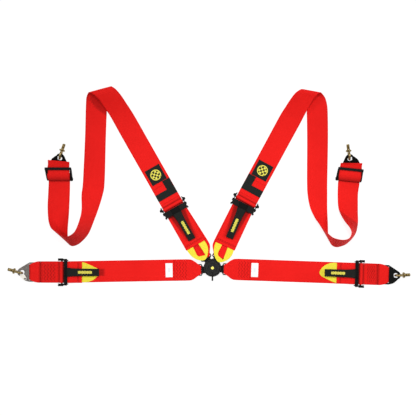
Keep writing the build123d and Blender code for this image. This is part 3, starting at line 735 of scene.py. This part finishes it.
# Painted shade on a shoulder anchor: the roll, the slider's bulge, the front run's painted shadow on the leg, the
# outer legs' creases and the bottom turns.
def shoulder_anchor_shade(name, arm):
    near = adjuster_frame(name).inverted()
    end = end_frame(name).inverted()
    side = arm["side"]

    def shade(point):
        x, y, z = point
        at = near @ point
        if at.x < NEAR_HARDWARE and abs(at.y) < NEAR_HARDWARE:
            return roll_shade(near, point)
        at = end @ point
        if at.x > -NEAR_HARDWARE and abs(at.y) < NEAR_HARDWARE:
            return taper(at.x, BULGE_SHADE)
        if side > 0 and z < 3 and x < OVERHANG_X and y > OVERHANG_Y:
            return OVERHANG_SHADOW * ease((y - taper(x, OVERHANG)) / 5)
        if side > 0 and x < LEFT_CREASE_X and z < 12:
            return LEFT_CREASE_SHADE * (1 - ease((y - line_y(LEFT_CREASE, x)) / 10))
        if side < 0 and x > RIGHT_CREASE_X:
            below = line_y(RIGHT_CREASE, x) - y
            return RIGHT_CREASE_SHADE * ease(below / 7) * (1 - ease((below - 18) / 45))
        return taper(y, BOTTOM_SHADE[side])

    return shade


def buckle_shade(name, arm):
    """Painted shade on the webbing under the pull tab and its lip, and a painted shadow past a lap tab's end."""
    near = tab_frame(name, arm).inverted()
    lip = arm["lip"]
    run = arm["tab"] - lip
    wide, narrow, tab_shade = SHOULDER_TAB_SHADE if "end" in arm else LAP_TAB_SHADE

    def shade(point):
        at = near @ point
        along = (-lip - at.x) / run
        if along < -0.2 or abs(at.y) > NEAR_HARDWARE:
            return 0.0
        if along > 1.0:
            past = -arm["tab"] - at.x
            beyond = (1 - ease((past - 14) / 5)) * (1 - ease((abs(at.y) - 10) / 4))
            return TAB_CAST_SHADOW * beyond * arm["cast"]
        wedge = 9 - 0.18 * (abs(at.y) - 10)
        if "end" in arm and at.y * arm["side"] > 10 and -lip - at.x < wedge:
            return LIP_WEDGE_SHADE
        half = wide + (narrow - wide) * max(0.0, along)
        inside = 1 - ease((abs(at.y) - half + 3) / 5)
        return inside * tab_shade * (1 - 0.3 * along)

    return shade


# Webbing

def lay_sheet(rows):
    ribbon_length(rows) * MM


def buckle_half(u):
    return taper(u, ((40.0, 13.2), (42.5, 16.2), (48.5, 19.2), (72.0, WEB_HALF)))


def buckle_webbing(name, arm):
    """From the sewn end round the tongue's bar, along the surface, round the sliding bar and back."""
    near = arm_frame(name)
    joined = adjuster_frame(name)
    tail = tail_frame(name)
    far = near.inverted() @ joined.translation
    low = arm["low"]
    path = [(SEWN_END, LAYER_2), (110, LAYER_2), (86, LAYER_2 + 0.1), (70, 7.2), (53, 14.0)]
    path += arc(TONGUE_BAR, TONGUE_LOOP_R, 75, 285, wide=1.2)
    path += [(52, 5.4), (64, LAYER_1), (84, LAYER_1), (160, LAYER_1)]
    path += [(far.x - 60, LAYER_1), (far.x - 22, LAYER_1)]
    rows = rows_of(near, path, buckle_half)
    turn = [(-12, LAYER_1)] + arc(SLIDING_BAR, SLIDING_LOOP_R, 270, 450, wide=1.16) + [(-12, 9.3)]
    rows += rows_of(joined, turn, WEB_HALF)
    end = arm["tail"]
    sewn = low + TAIL_SEWN
    back = [(-22, 9.0), (-34, 6.0), (-46, low + LAYER_1), (-end + 26, low + LAYER_1), (-end + 18, sewn),
            (-end, sewn)]
    rows += rows_of(tail, back, WEB_HALF)
    rows = even(rounded(rows))
    strap = ribbon(name + "_webbing", rows, red_web, across=22, crown=0.25, ripple=0.12,
                   shade=buckle_shade(name, arm))
    lay_sheet(rows)
    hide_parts(name + "_buckle_strap", name + "_webbing_turn")
    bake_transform(strap)

    top = LAYER_2 + WEB_T / 2 + SEAM_LIFT
    lines = zigzag_rows(near, top, 88, 128, 30, 4)
    lines += polyline(near, top, [(131.5, -34), (131.5, 34)])
    lines += polyline(near, top, [(85, -33), (85, 33)])
    hem = sewn + WEB_T / 2 + SEAM_LIFT
    lines += polyline(tail, hem, [(-end + 11, -34), (-end + 11, 34)])
    lines += polyline(tail, hem, [(-end + 14.5, -34), (-end + 14.5, 34)])
    seams = stitch_mesh(name + "_buckle_seams", lines, red_thread, 1.4)
    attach(seams, name + "_strap")


def anchor_start(extra):
    """The anchor strap's sewn end, back to the adjuster's bar and round it."""
    path = [(extra, LAYER_2), (extra - 25, LAYER_2), (26, LAYER_2), (20, 2.7), (17, 4.6), (13.6, 9.4)]
    return path + arc(ANCHOR_BAR, ANCHOR_LOOP_R, 65, 275, wide=1.45) + [(19, LAYER_1 + 0.4), (30, LAYER_1)]


def lap_anchor_webbing(name, arm):
    near = adjuster_frame(name)
    reach = arm["reach"]
    seam = reach - SEAM_BACK
    path = anchor_start(seam - SEAM_GAP / 2)
    path += [(reach - 44, LAYER_1), (reach - 20, LAYER_1), (reach - 6, LAYER_1)]
    path += arc((reach, 5.5), BRACKET_LOOP_R, 270, 445, wide=1.25)
    path += [(reach - 9, 8.8), (reach - 19, 4.2), (reach - 26, LAYER_2), (seam + SEAM_GAP / 2, LAYER_2)]
    gather = ((reach - 22, WEB_HALF), (reach - 6, 32.5), (reach + 2, SLOT_WEB_HALF))
    rows = rows_of(near, path, lambda u: taper(u, gather))
    rows = even(rounded(rows), 1.6)
    strap = ribbon(name + "_anchor_webbing", rows, red_web, crown=0.2, shade=lap_anchor_shade(name, arm))
    lay_sheet(rows)
    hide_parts(name + "_anchor_strap")
    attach(strap, name + "_strap")

    top = LAYER_2 + WEB_T / 2 + ANCHOR_SEAM_LIFT
    lines = zigzag_rows(near, top, 29, reach - 42, 30, 4)
    lines += polyline(near, top, [(seam - 5.5, -34), (seam - 5.5, 34)])
    lines += polyline(near, top, [(seam + 5.0, -34), (seam + 5.0, 34)])
    seams = stitch_mesh(name + "_anchor_seams", lines, red_thread, 1.5)
    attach(seams, name + "_strap")


def shoulder_anchor_webbing(name, arm):
    """Front run, top fold, leg, bottom turn and outer leg to the slider, round the bracket and back."""
    near = adjuster_frame(name)
    end = end_frame(name)
    bracket = bracket_floor_frame(name)
    rows = rounded(rows_of(near, anchor_start(91.0) + [(90, LAYER_1), (125, LAYER_1)], WEB_HALF))
    stations = rows_of(near, [(125, LAYER_1), (160, LAYER_1), (240, LAYER_1)], WEB_HALF)
    stations += [(Vector(row[:3]), Vector(row[3:])) for row in ROUTES[name]]
    stations += rows_of(end, [(-52, LAYER_1)], WEB_HALF)
    rows += catmull(stations)[1:]
    free = arm["free"]
    slant = 3.5 * arm["side"]
    lower = rows_of(end, [(-38, LAYER_1), (-14, LAYER_1)], WEB_HALF)
    lower += rows_of(bracket, [(-8, LAYER_1)] + arc((0, 5.5), BRACKET_LOOP_R, 270, 450) + [(-8, 8.4)],
                     SLOT_WEB_HALF)
    lower += rows_of(end, [(-14, 3.0), (-32, 2.8)], WEB_HALF)
    bulge = [(-38.5, 3.0), (-41.0, 4.8), (-41.2, 7.0), (-38.5, 8.8), (-31, 11.0), (-22, 12.5), (-13, 12.9),
             (-6, 12.0), (4, 11.9), (9, 13.2), (16, 15.4)]
    bulge_half = ((-42, WEB_HALF), (-20, WEB_HALF + 2.0), (4, WEB_HALF + 1.5), (10, WEB_HALF))
    for u, z in bulge:
        shift = arm["lean"] * taper(u, ((-40, 0.0), (-28, 1.0), (4, 1.0), (16, 0.0)))
        lower += rows_of(end @ Matrix.Translation((0, shift, 0)), [(u, z)], taper(u, bulge_half))
    lower.append((end @ Vector((free + slant, WEB_HALF, FREE_END_Z)),
                  end @ Vector((free - slant, -WEB_HALF, FREE_END_Z))))
    rows = even(rows + rounded(lower)[1:])
    strap = ribbon(name + "_anchor_webbing", rows, red_web, across=14, crown=0.2, ripple=0.15,
                   shade=shoulder_anchor_shade(name, arm))
    lay_sheet(rows)
    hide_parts(name + "_anchor_strap")
    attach(strap, name + "_strap")

    top = LAYER_2 + WEB_T / 2 + ANCHOR_SEAM_LIFT
    lines = polyline(near, top, [(27, -34), (27, 34)])
    lines += polyline(near, top, [(87, -34), (87, 34)])
    seams = stitch_mesh(name + "_anchor_seams", lines, red_thread)
    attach(seams, name + "_strap")


# Pull loops, tabs, patches and labels

# Outer and inner edges of each yellow loop, in the tail's frame: distance past the tail's end, then across.
LAP_LOOP = [
    ((0, 35.6), (0, 10.6)), ((12, 35.6), (14, 11.5)), ((27, 33), (28, 12)), ((42, 26), (37, 11)),
    ((53, 16), (42, 7)), ((60, 5), (44, 1)), ((60.5, -5), (43, -4)), ((54, -13), (39, -8.5)),
    ((44, -18.5), (31, -10.5)), ((24, -27.5), (18, -11)), ((10, -33), (8, -10.8)), ((0, -35.6), (0, -10.6)),
]
SHOULDER_LOOP = [
    ((0, 35), (0, 10.6)), ((15, 33.8), (15, 11.6)), ((31, 29), (30, 12.3)), ((46, 20), (38, 9.8)),
    ((56, 9), (41.5, 4)), ((60.5, -1.5), (43.5, -2.5)), ((57.5, -11), (45, -8.5)), ((49, -21), (45.6, -13.2)),
    ((36, -30.5), (34, -13.0)), ((18, -35.6), (17, -11.8)), ((0, -34.6), (0, -10.5)),
]
LOOP_EDGE = 10.6  # inner edge of the tape where it goes under the tail
TAB_MARK = {"left_lap": (-99.0, -50.0), "right_lap": (-97.0, -48.0), "left_shoulder": (-107.0, -56.0),
            "right_shoulder": (-110.0, -60.0)}
MARK_BLOCKS = 11


def pull_loop(name, arm):
    """Yellow tape bent into a D, from under the tail's end and back."""
    tail = tail_frame(name)
    spots = [tail.inverted() @ (v.co / MM) for v in frame["nodes"][name + "_pull_loop"].data.vertices]
    rise = max(p.z for p in spots) - min(p.z for p in spots) - WEB_T
    start = -arm["tail"] + 1.0
    low = arm["low"] + LAYER_1
    outline = SHOULDER_LOOP if "end" in arm else LAP_LOOP
    under = [((-14, outline[0][0][1]), (-14, LOOP_EDGE))]
    back = [((-14, outline[-1][0][1]), (-14, -LOOP_EDGE))]
    rows = []
    for (du, v), (inner_du, inner_v) in under + outline + back:
        pair = []
        for d, across, extra in ((du, v, 0.0), (inner_du, inner_v, 0.5)):
            z = low + rise * ease(d / LOOP_RUN) + extra * ease(d / 20)
            pair.append(tail @ Vector((start - d, across, z)))
        rows.append(tuple(pair))
    rows = even(catmull(rows, 4), 3.0)
    loop = ribbon(name + "_yellow_loop", rows, yellow_web, crown=0.3)
    lay_sheet(rows)
    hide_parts(name + "_pull_loop")
    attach(loop, name + "_strap")


def tab_frame(name, arm):
    lip = -arm["lip"]
    turn = Matrix.Rotation(math.radians(arm["tab_turn"]), 4, "Z")
    there = Matrix.Translation((lip, 0, 0))
    back = Matrix.Translation((-lip, 0, 0))
    return adjuster_frame(name) @ there @ turn @ back


def pull_tab(name, arm):
    """Doubled black tape from the adjuster's lip, with a row of plain embroidered blocks on it."""
    near = tab_frame(name, arm)
    lip = -arm["lip"]
    end = -arm["tab"]
    top = LIP_TOP + 0.1 + TAPE_T / 2
    under = TAB_END_Z + TAPE_T / 2
    upper = [(-2.5, top), (lip - 2, top + 0.1), (lip - 22, top - 0.2),
             (end + 6, under + TAPE_T + 0.3), (end + 1, under + TAPE_T + 0.1)]
    fold = arc((end + 1, under + TAPE_T / 2 + 0.05), TAPE_T / 2 + 0.05, 90, 270, 45)
    lower = [(end + 6, under), (lip - 24, top - 1.6), (lip - 8, top - 1.5)]
    half = ((lip - 24, TAB_HALF - 0.8), (lip - 2, TAB_FLARE))
    from_near = near.inverted()
    # The tape over the lip is darkened nearly to the lip's black.
    over_lip_dark = ((lip - 1.0, 0.0), (lip + 0.5, 0.85))
    rows = rows_of(near, upper + fold + lower, lambda u: taper(u, half))
    rows = even(rounded(rows))
    tab = ribbon(name + "_black_tab", rows, black_tape, thick=TAPE_T, across=8, crown=0.25,
                 shade=lambda point: taper((from_near @ point).x, over_lip_dark))
    lay_sheet(rows)
    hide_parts(name + "_pull_tab")
    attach(tab, name + "_adjuster")

    surface = ((end + 6, under + TAPE_T + 0.3), (lip - 22, top - 0.2), (lip - 2, top))

    def thread_z(u):
        return taper(u, surface) + TAPE_T / 2 + SEAM_LIFT

    lines = []
    for low, high in ((end + 4, end + 14), (lip - 14, lip - 3)):
        corners = [(low, 10.5), (high, 10.5), (high, -10.5), (low, -10.5), (low, 10.5)]
        spots = [near @ Vector((u, v, thread_z(u))) for u, v in corners]
        lines += [(a, b, UP) for a, b in zip(spots, spots[1:])]
    seams = stitch_mesh(name + "_tab_seams", lines, black_thread, 0.8)
    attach(seams, name + "_adjuster")

    mark_low, mark_high = TAB_MARK[name]
    places = []
    width = (mark_high - mark_low) / MARK_BLOCKS
    for k in range(MARK_BLOCKS):
        tall = 5.2 if k % 2 else 4.3
        start = mark_low + width * (k + 0.09)
        stop = start + width * 0.82
        places.append([(start, -tall), (stop, -tall), (stop, tall), (start, tall)])
    mark = raised_blocks(name + "_tab_mark", near, places, thread_z, yellow_thread)
    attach(mark, name + "_adjuster")


def raised_blocks(name, matrix, outlines, height, material, thick=0.45):
    """Low embroidered pads on a surface: each outline is a list of (u, v), height gives z at u."""
    points = []
    faces = []
    for outline in outlines:
        base = len(points)
        count = len(outline)
        mid_u = sum(u for u, v in outline) / count
        mid_v = sum(v for u, v in outline) / count
        for share, lift in ((1.0, -0.3), (1.0, 0.15), (0.86, thick)):
            for u, v in outline:
                at_u = mid_u + (u - mid_u) * share
                at_v = mid_v + (v - mid_v) * share
                points.append(matrix @ Vector((at_u, at_v, height(at_u) + lift)))
        for ring in range(2):
            for m in range(count):
                p = base + ring * count + m
                q = base + ring * count + (m + 1) % count
                faces.append((p, q, q + count, p + count))
        faces.append([base + m for m in range(count)][::-1])
        faces.append([base + 2 * count + m for m in range(count)])
    return add_mesh(name, points, faces, material, smooth=False)


def flat_patch(name, body, matrix, u_low, u_high, v_low, v_high, z, thick, material):
    """Thin cloth patch with softened edges."""
    middle = (v_low + v_high) / 2
    half = (v_high - v_low) / 2
    shifted = matrix @ Matrix.Translation((0, middle, 0))
    ends = [(u_low, z), (u_low + 0.5, z), (u_high - 0.5, z), (u_high, z)]
    rows = even(rows_of(shifted, ends, half))
    patch = ribbon(name, rows, material, thick=thick, across=8, crown=0.1)
    lay_sheet(rows)
    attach(patch, body)
    return patch


def emblem(name, body, matrix, centre_u, z):
    """A plain chequered roundel, embroidered."""
    cell = 7.0
    radius = 19.0
    band = 3.4
    outlines = []
    ring = 32
    for k in range(ring):
        a0 = 2 * math.pi * k / ring
        a1 = 2 * math.pi * (k + 1) / ring
        corners = ((radius, a0), (radius, a1), (radius - band, a1), (radius - band, a0))
        outlines.append([(centre_u + r * math.cos(a), r * math.sin(a)) for r, a in corners])
    for i in range(-2, 2):
        for j in range(-2, 2):
            if (i + j) % 2:
                continue
            u, v = centre_u + i * cell, j * cell
            outlines.append([(u, v), (u + cell, v), (u + cell, v + cell), (u, v + cell)])
    mark = raised_blocks(name, matrix, outlines, lambda u: z, yellow_thread, 0.4)
    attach(mark, body)


def shoulder_badge(name, arm):
    near = adjuster_frame(name)
    body = name + "_strap"
    inner = -arm["side"]
    high = WEB_T + 0.2
    square = flat_patch(name + "_badge_square", body, near, 101, 159, -28.5, 28.5, high + PATCH_T / 2,
                        PATCH_T, black_cloth)
    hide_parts(name + "_patch")
    double = 2 * WEB_T + 0.25
    flat_patch(name + "_cross_band", body, near, 41.5, 66.5, -WEB_HALF, WEB_HALF, double + PATCH_T / 2,
               PATCH_T, black_cloth)
    low, high_v = sorted((inner * 8.5, inner * 37.0))
    flat_patch(name + "_edge_band", body, near, 66.0, 99.5, low, high_v, double + PATCH_T / 2, PATCH_T,
               black_cloth)
    lines = box_lines(near, high + PATCH_T + 0.1, 103, 157, -26.5, 26.5)
    lines += box_lines(near, double + PATCH_T + 0.1, 43.5, 64.5, -35, 35)
    lines += polyline(near, double + PATCH_T + 0.1, [(68, inner * 10.5), (98, inner * 10.5)])
    lines += polyline(near, double + PATCH_T + 0.1, [(68, inner * 35), (98, inner * 35)])
    seams = stitch_mesh(name + "_badge_seams", lines, black_thread, 0.8)
    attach(seams, body)
    emblem(name + "_emblem", body, near, 130.0, high + PATCH_T + 0.1)


def care_label(name):
    near = arm_frame(name)
    low, high = (139.5, 164.0) if name == "left_lap" else (136.0, 160.5)
    flat_patch(name + "_label", name + "_strap", near, low, high, -24.5, 24.5, WEB_T + 0.5, 0.5,
               label_cloth)


# Eye bolts

RING_R = 13.5
WIRE_R = 3.45
RING_AROUND = 48
RING_TUBE = 16
SEGMENTS = 28
THREAD_START = 20.6
THREAD_END = SHANK_END - 0.9
THREAD_FADE = 1.5  # length over which the thread runs in and out
THREAD_STEPS = 6  # rows of points to one turn
THREAD_DEPTH = 0.72
THREAD_TOP = 0.08  # how far the thread's crest stays inside the shank's radius
# Neck and collar: distance along the bolt, radius.
BOLT_PROFILE = [(12.2, 3.6), (13.8, 4.6), (15.0, 6.4), (15.6, 9.2), (16.1, 9.9), (18.9, 9.9), (19.4, 9.2),
                (19.5, 5.9), (20.4, 5.3)]


def lathe_points(matrix, rows, segments):
    """Rows of (distance along u, radius), turned round u."""
    points = []
    for u, radius in rows:
        for m in range(segments):
            a = 2 * math.pi * m / segments
            points.append(matrix @ Vector((u, radius * math.cos(a), radius * math.sin(a))))
    return points


def eye_bolt(name):
    """Forged ring, collar and threaded shank."""
    matrix = bolt_frame(name)
    points = []
    faces = []
    for i in range(RING_AROUND):
        a = 2 * math.pi * i / RING_AROUND
        thick = WIRE_R + 0.5 * max(0.0, math.cos(a)) ** 6
        for j in range(RING_TUBE):
            b = 2 * math.pi * j / RING_TUBE
            r = RING_R + min(thick, WIRE_R) * math.cos(b)
            points.append(matrix @ Vector((r * math.cos(a), thick * math.sin(b), r * math.sin(a))))
    for i in range(RING_AROUND):
        here = i * RING_TUBE
        after = (i + 1) % RING_AROUND * RING_TUBE
        for j in range(RING_TUBE):
            k = (j + 1) % RING_TUBE
            faces.append((here + j, here + k, after + k, after + j))
    base = len(points)
    rows = lathe_points(matrix, BOLT_PROFILE, SEGMENTS)
    step = THREAD_PITCH / THREAD_STEPS
    count = int((THREAD_END - THREAD_START) / step)
    for k in range(count + 1):
        u = THREAD_START + k * step
        fade = ease((u - THREAD_START) / THREAD_FADE) * ease((THREAD_END - u) / THREAD_FADE)
        for m in range(SEGMENTS):
            a = 2 * math.pi * m / SEGMENTS
            turn = (u / THREAD_PITCH - m / SEGMENTS) % 1.0
            groove = abs(2 * turn - 1)
            radius = SHANK_R - THREAD_TOP - THREAD_DEPTH * fade * (1 - groove)
            rows.append(matrix @ Vector((u, radius * math.cos(a), radius * math.sin(a))))
    rows += lathe_points(matrix, [(SHANK_END - 0.2, 4.6), (SHANK_END - 0.05, 2.0)], SEGMENTS)
    points += rows
    total = len(rows) // SEGMENTS
    for k in range(total - 1):
        for m in range(SEGMENTS):
            p = base + k * SEGMENTS + m
            q = base + k * SEGMENTS + (m + 1) % SEGMENTS
            faces.append((p, p + SEGMENTS, q + SEGMENTS, q))
    faces.append([base + m for m in range(SEGMENTS)])
    faces.append([base + (total - 1) * SEGMENTS + m for m in range(SEGMENTS)][::-1])
    bolt = add_mesh(name + "_forged_bolt", points, faces, yellow_zinc)
    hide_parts(name + "_eye_bolt")
    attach(bolt, name + "_eye_bolt")


# Floor and light

WORLD_STRENGTH = 0.26
SUN_ANGLE = 16.0
KEY_PLACE = (0.08, 1.5, 2.7)
KEY_AIM = (0.10, -0.06, 0)
KEY_POWER = 175.0
KEY_CONE = 38.0
SUN_AIM = (0, 0.2, 0)
SUNS = (("left_sun", (-3.0, 0.5, 1.9), 0.95), ("right_sun", (3.0, 0.6, 1.9), 1.0),
        ("top_sun", (0.0, 0.6, 3.0), 0.68))


def add_light(name, kind, place, aim, power):
    """A light in metres that looks at aim."""
    light = bpy.data.objects.new(name, bpy.data.lights.new(name, kind))
    light.data.energy = power
    light.location = place
    light.rotation_euler = (Vector(aim) - Vector(place)).to_track_quat("-Z", "Y").to_euler()
    light.visible_camera = False
    bpy.context.scene.collection.objects.link(light)
    return light


def studio():
    n = Nodes("floor_paper")
    n.link(n.mix(n.range(n.noise(3.0, 2.0), 0.3, 0.7), (0.2, 0.2, 0.2), (0.22, 0.22, 0.22)),
           n.shader.inputs["Base Color"])
    n.set(Roughness=0.95, Specular_IOR_Level=0.1, Emission_Strength=0.86)
    n.shader.inputs["Emission Color"].default_value = (1.0, 1.0, 1.0, 1.0)
    half = 40000.0  # wide, so that the horizon stays white in low views
    corners = [(-half, -half, 0), (half, -half, 0), (half, half, 0), (-half, half, 0)]
    floor = add_mesh("floor", corners, [(0, 1, 2, 3)], n.material)

    world = bpy.data.worlds.new("studio")
    bpy.context.scene.world = world
    world.use_nodes = True
    background = world.node_tree.nodes["Background"]
    background.inputs["Color"].default_value = (1.0, 1.0, 1.0, 1.0)
    background.inputs["Strength"].default_value = WORLD_STRENGTH

    key = add_light("key", "SPOT", KEY_PLACE, KEY_AIM, KEY_POWER)
    key.data.spot_size = math.radians(KEY_CONE)
    key.data.spot_blend = 1.0
    key.data.shadow_soft_size = 0.2
    for name, place, power in SUNS:
        sun = add_light(name, "SUN", place, SUN_AIM, power)
        sun.data.angle = math.radians(SUN_ANGLE)
    bpy.context.scene.view_settings.view_transform = "Standard"


# Build

dress_nodes()
for arm_name, arm in ARMS.items():
    buckle_webbing(arm_name, arm)
    pull_loop(arm_name, arm)
    pull_tab(arm_name, arm)
    eye_bolt(arm_name)
    if "reach" in arm:
        lap_anchor_webbing(arm_name, arm)
        care_label(arm_name)
    else:
        shoulder_anchor_webbing(arm_name, arm)
        shoulder_badge(arm_name, arm)
studio()
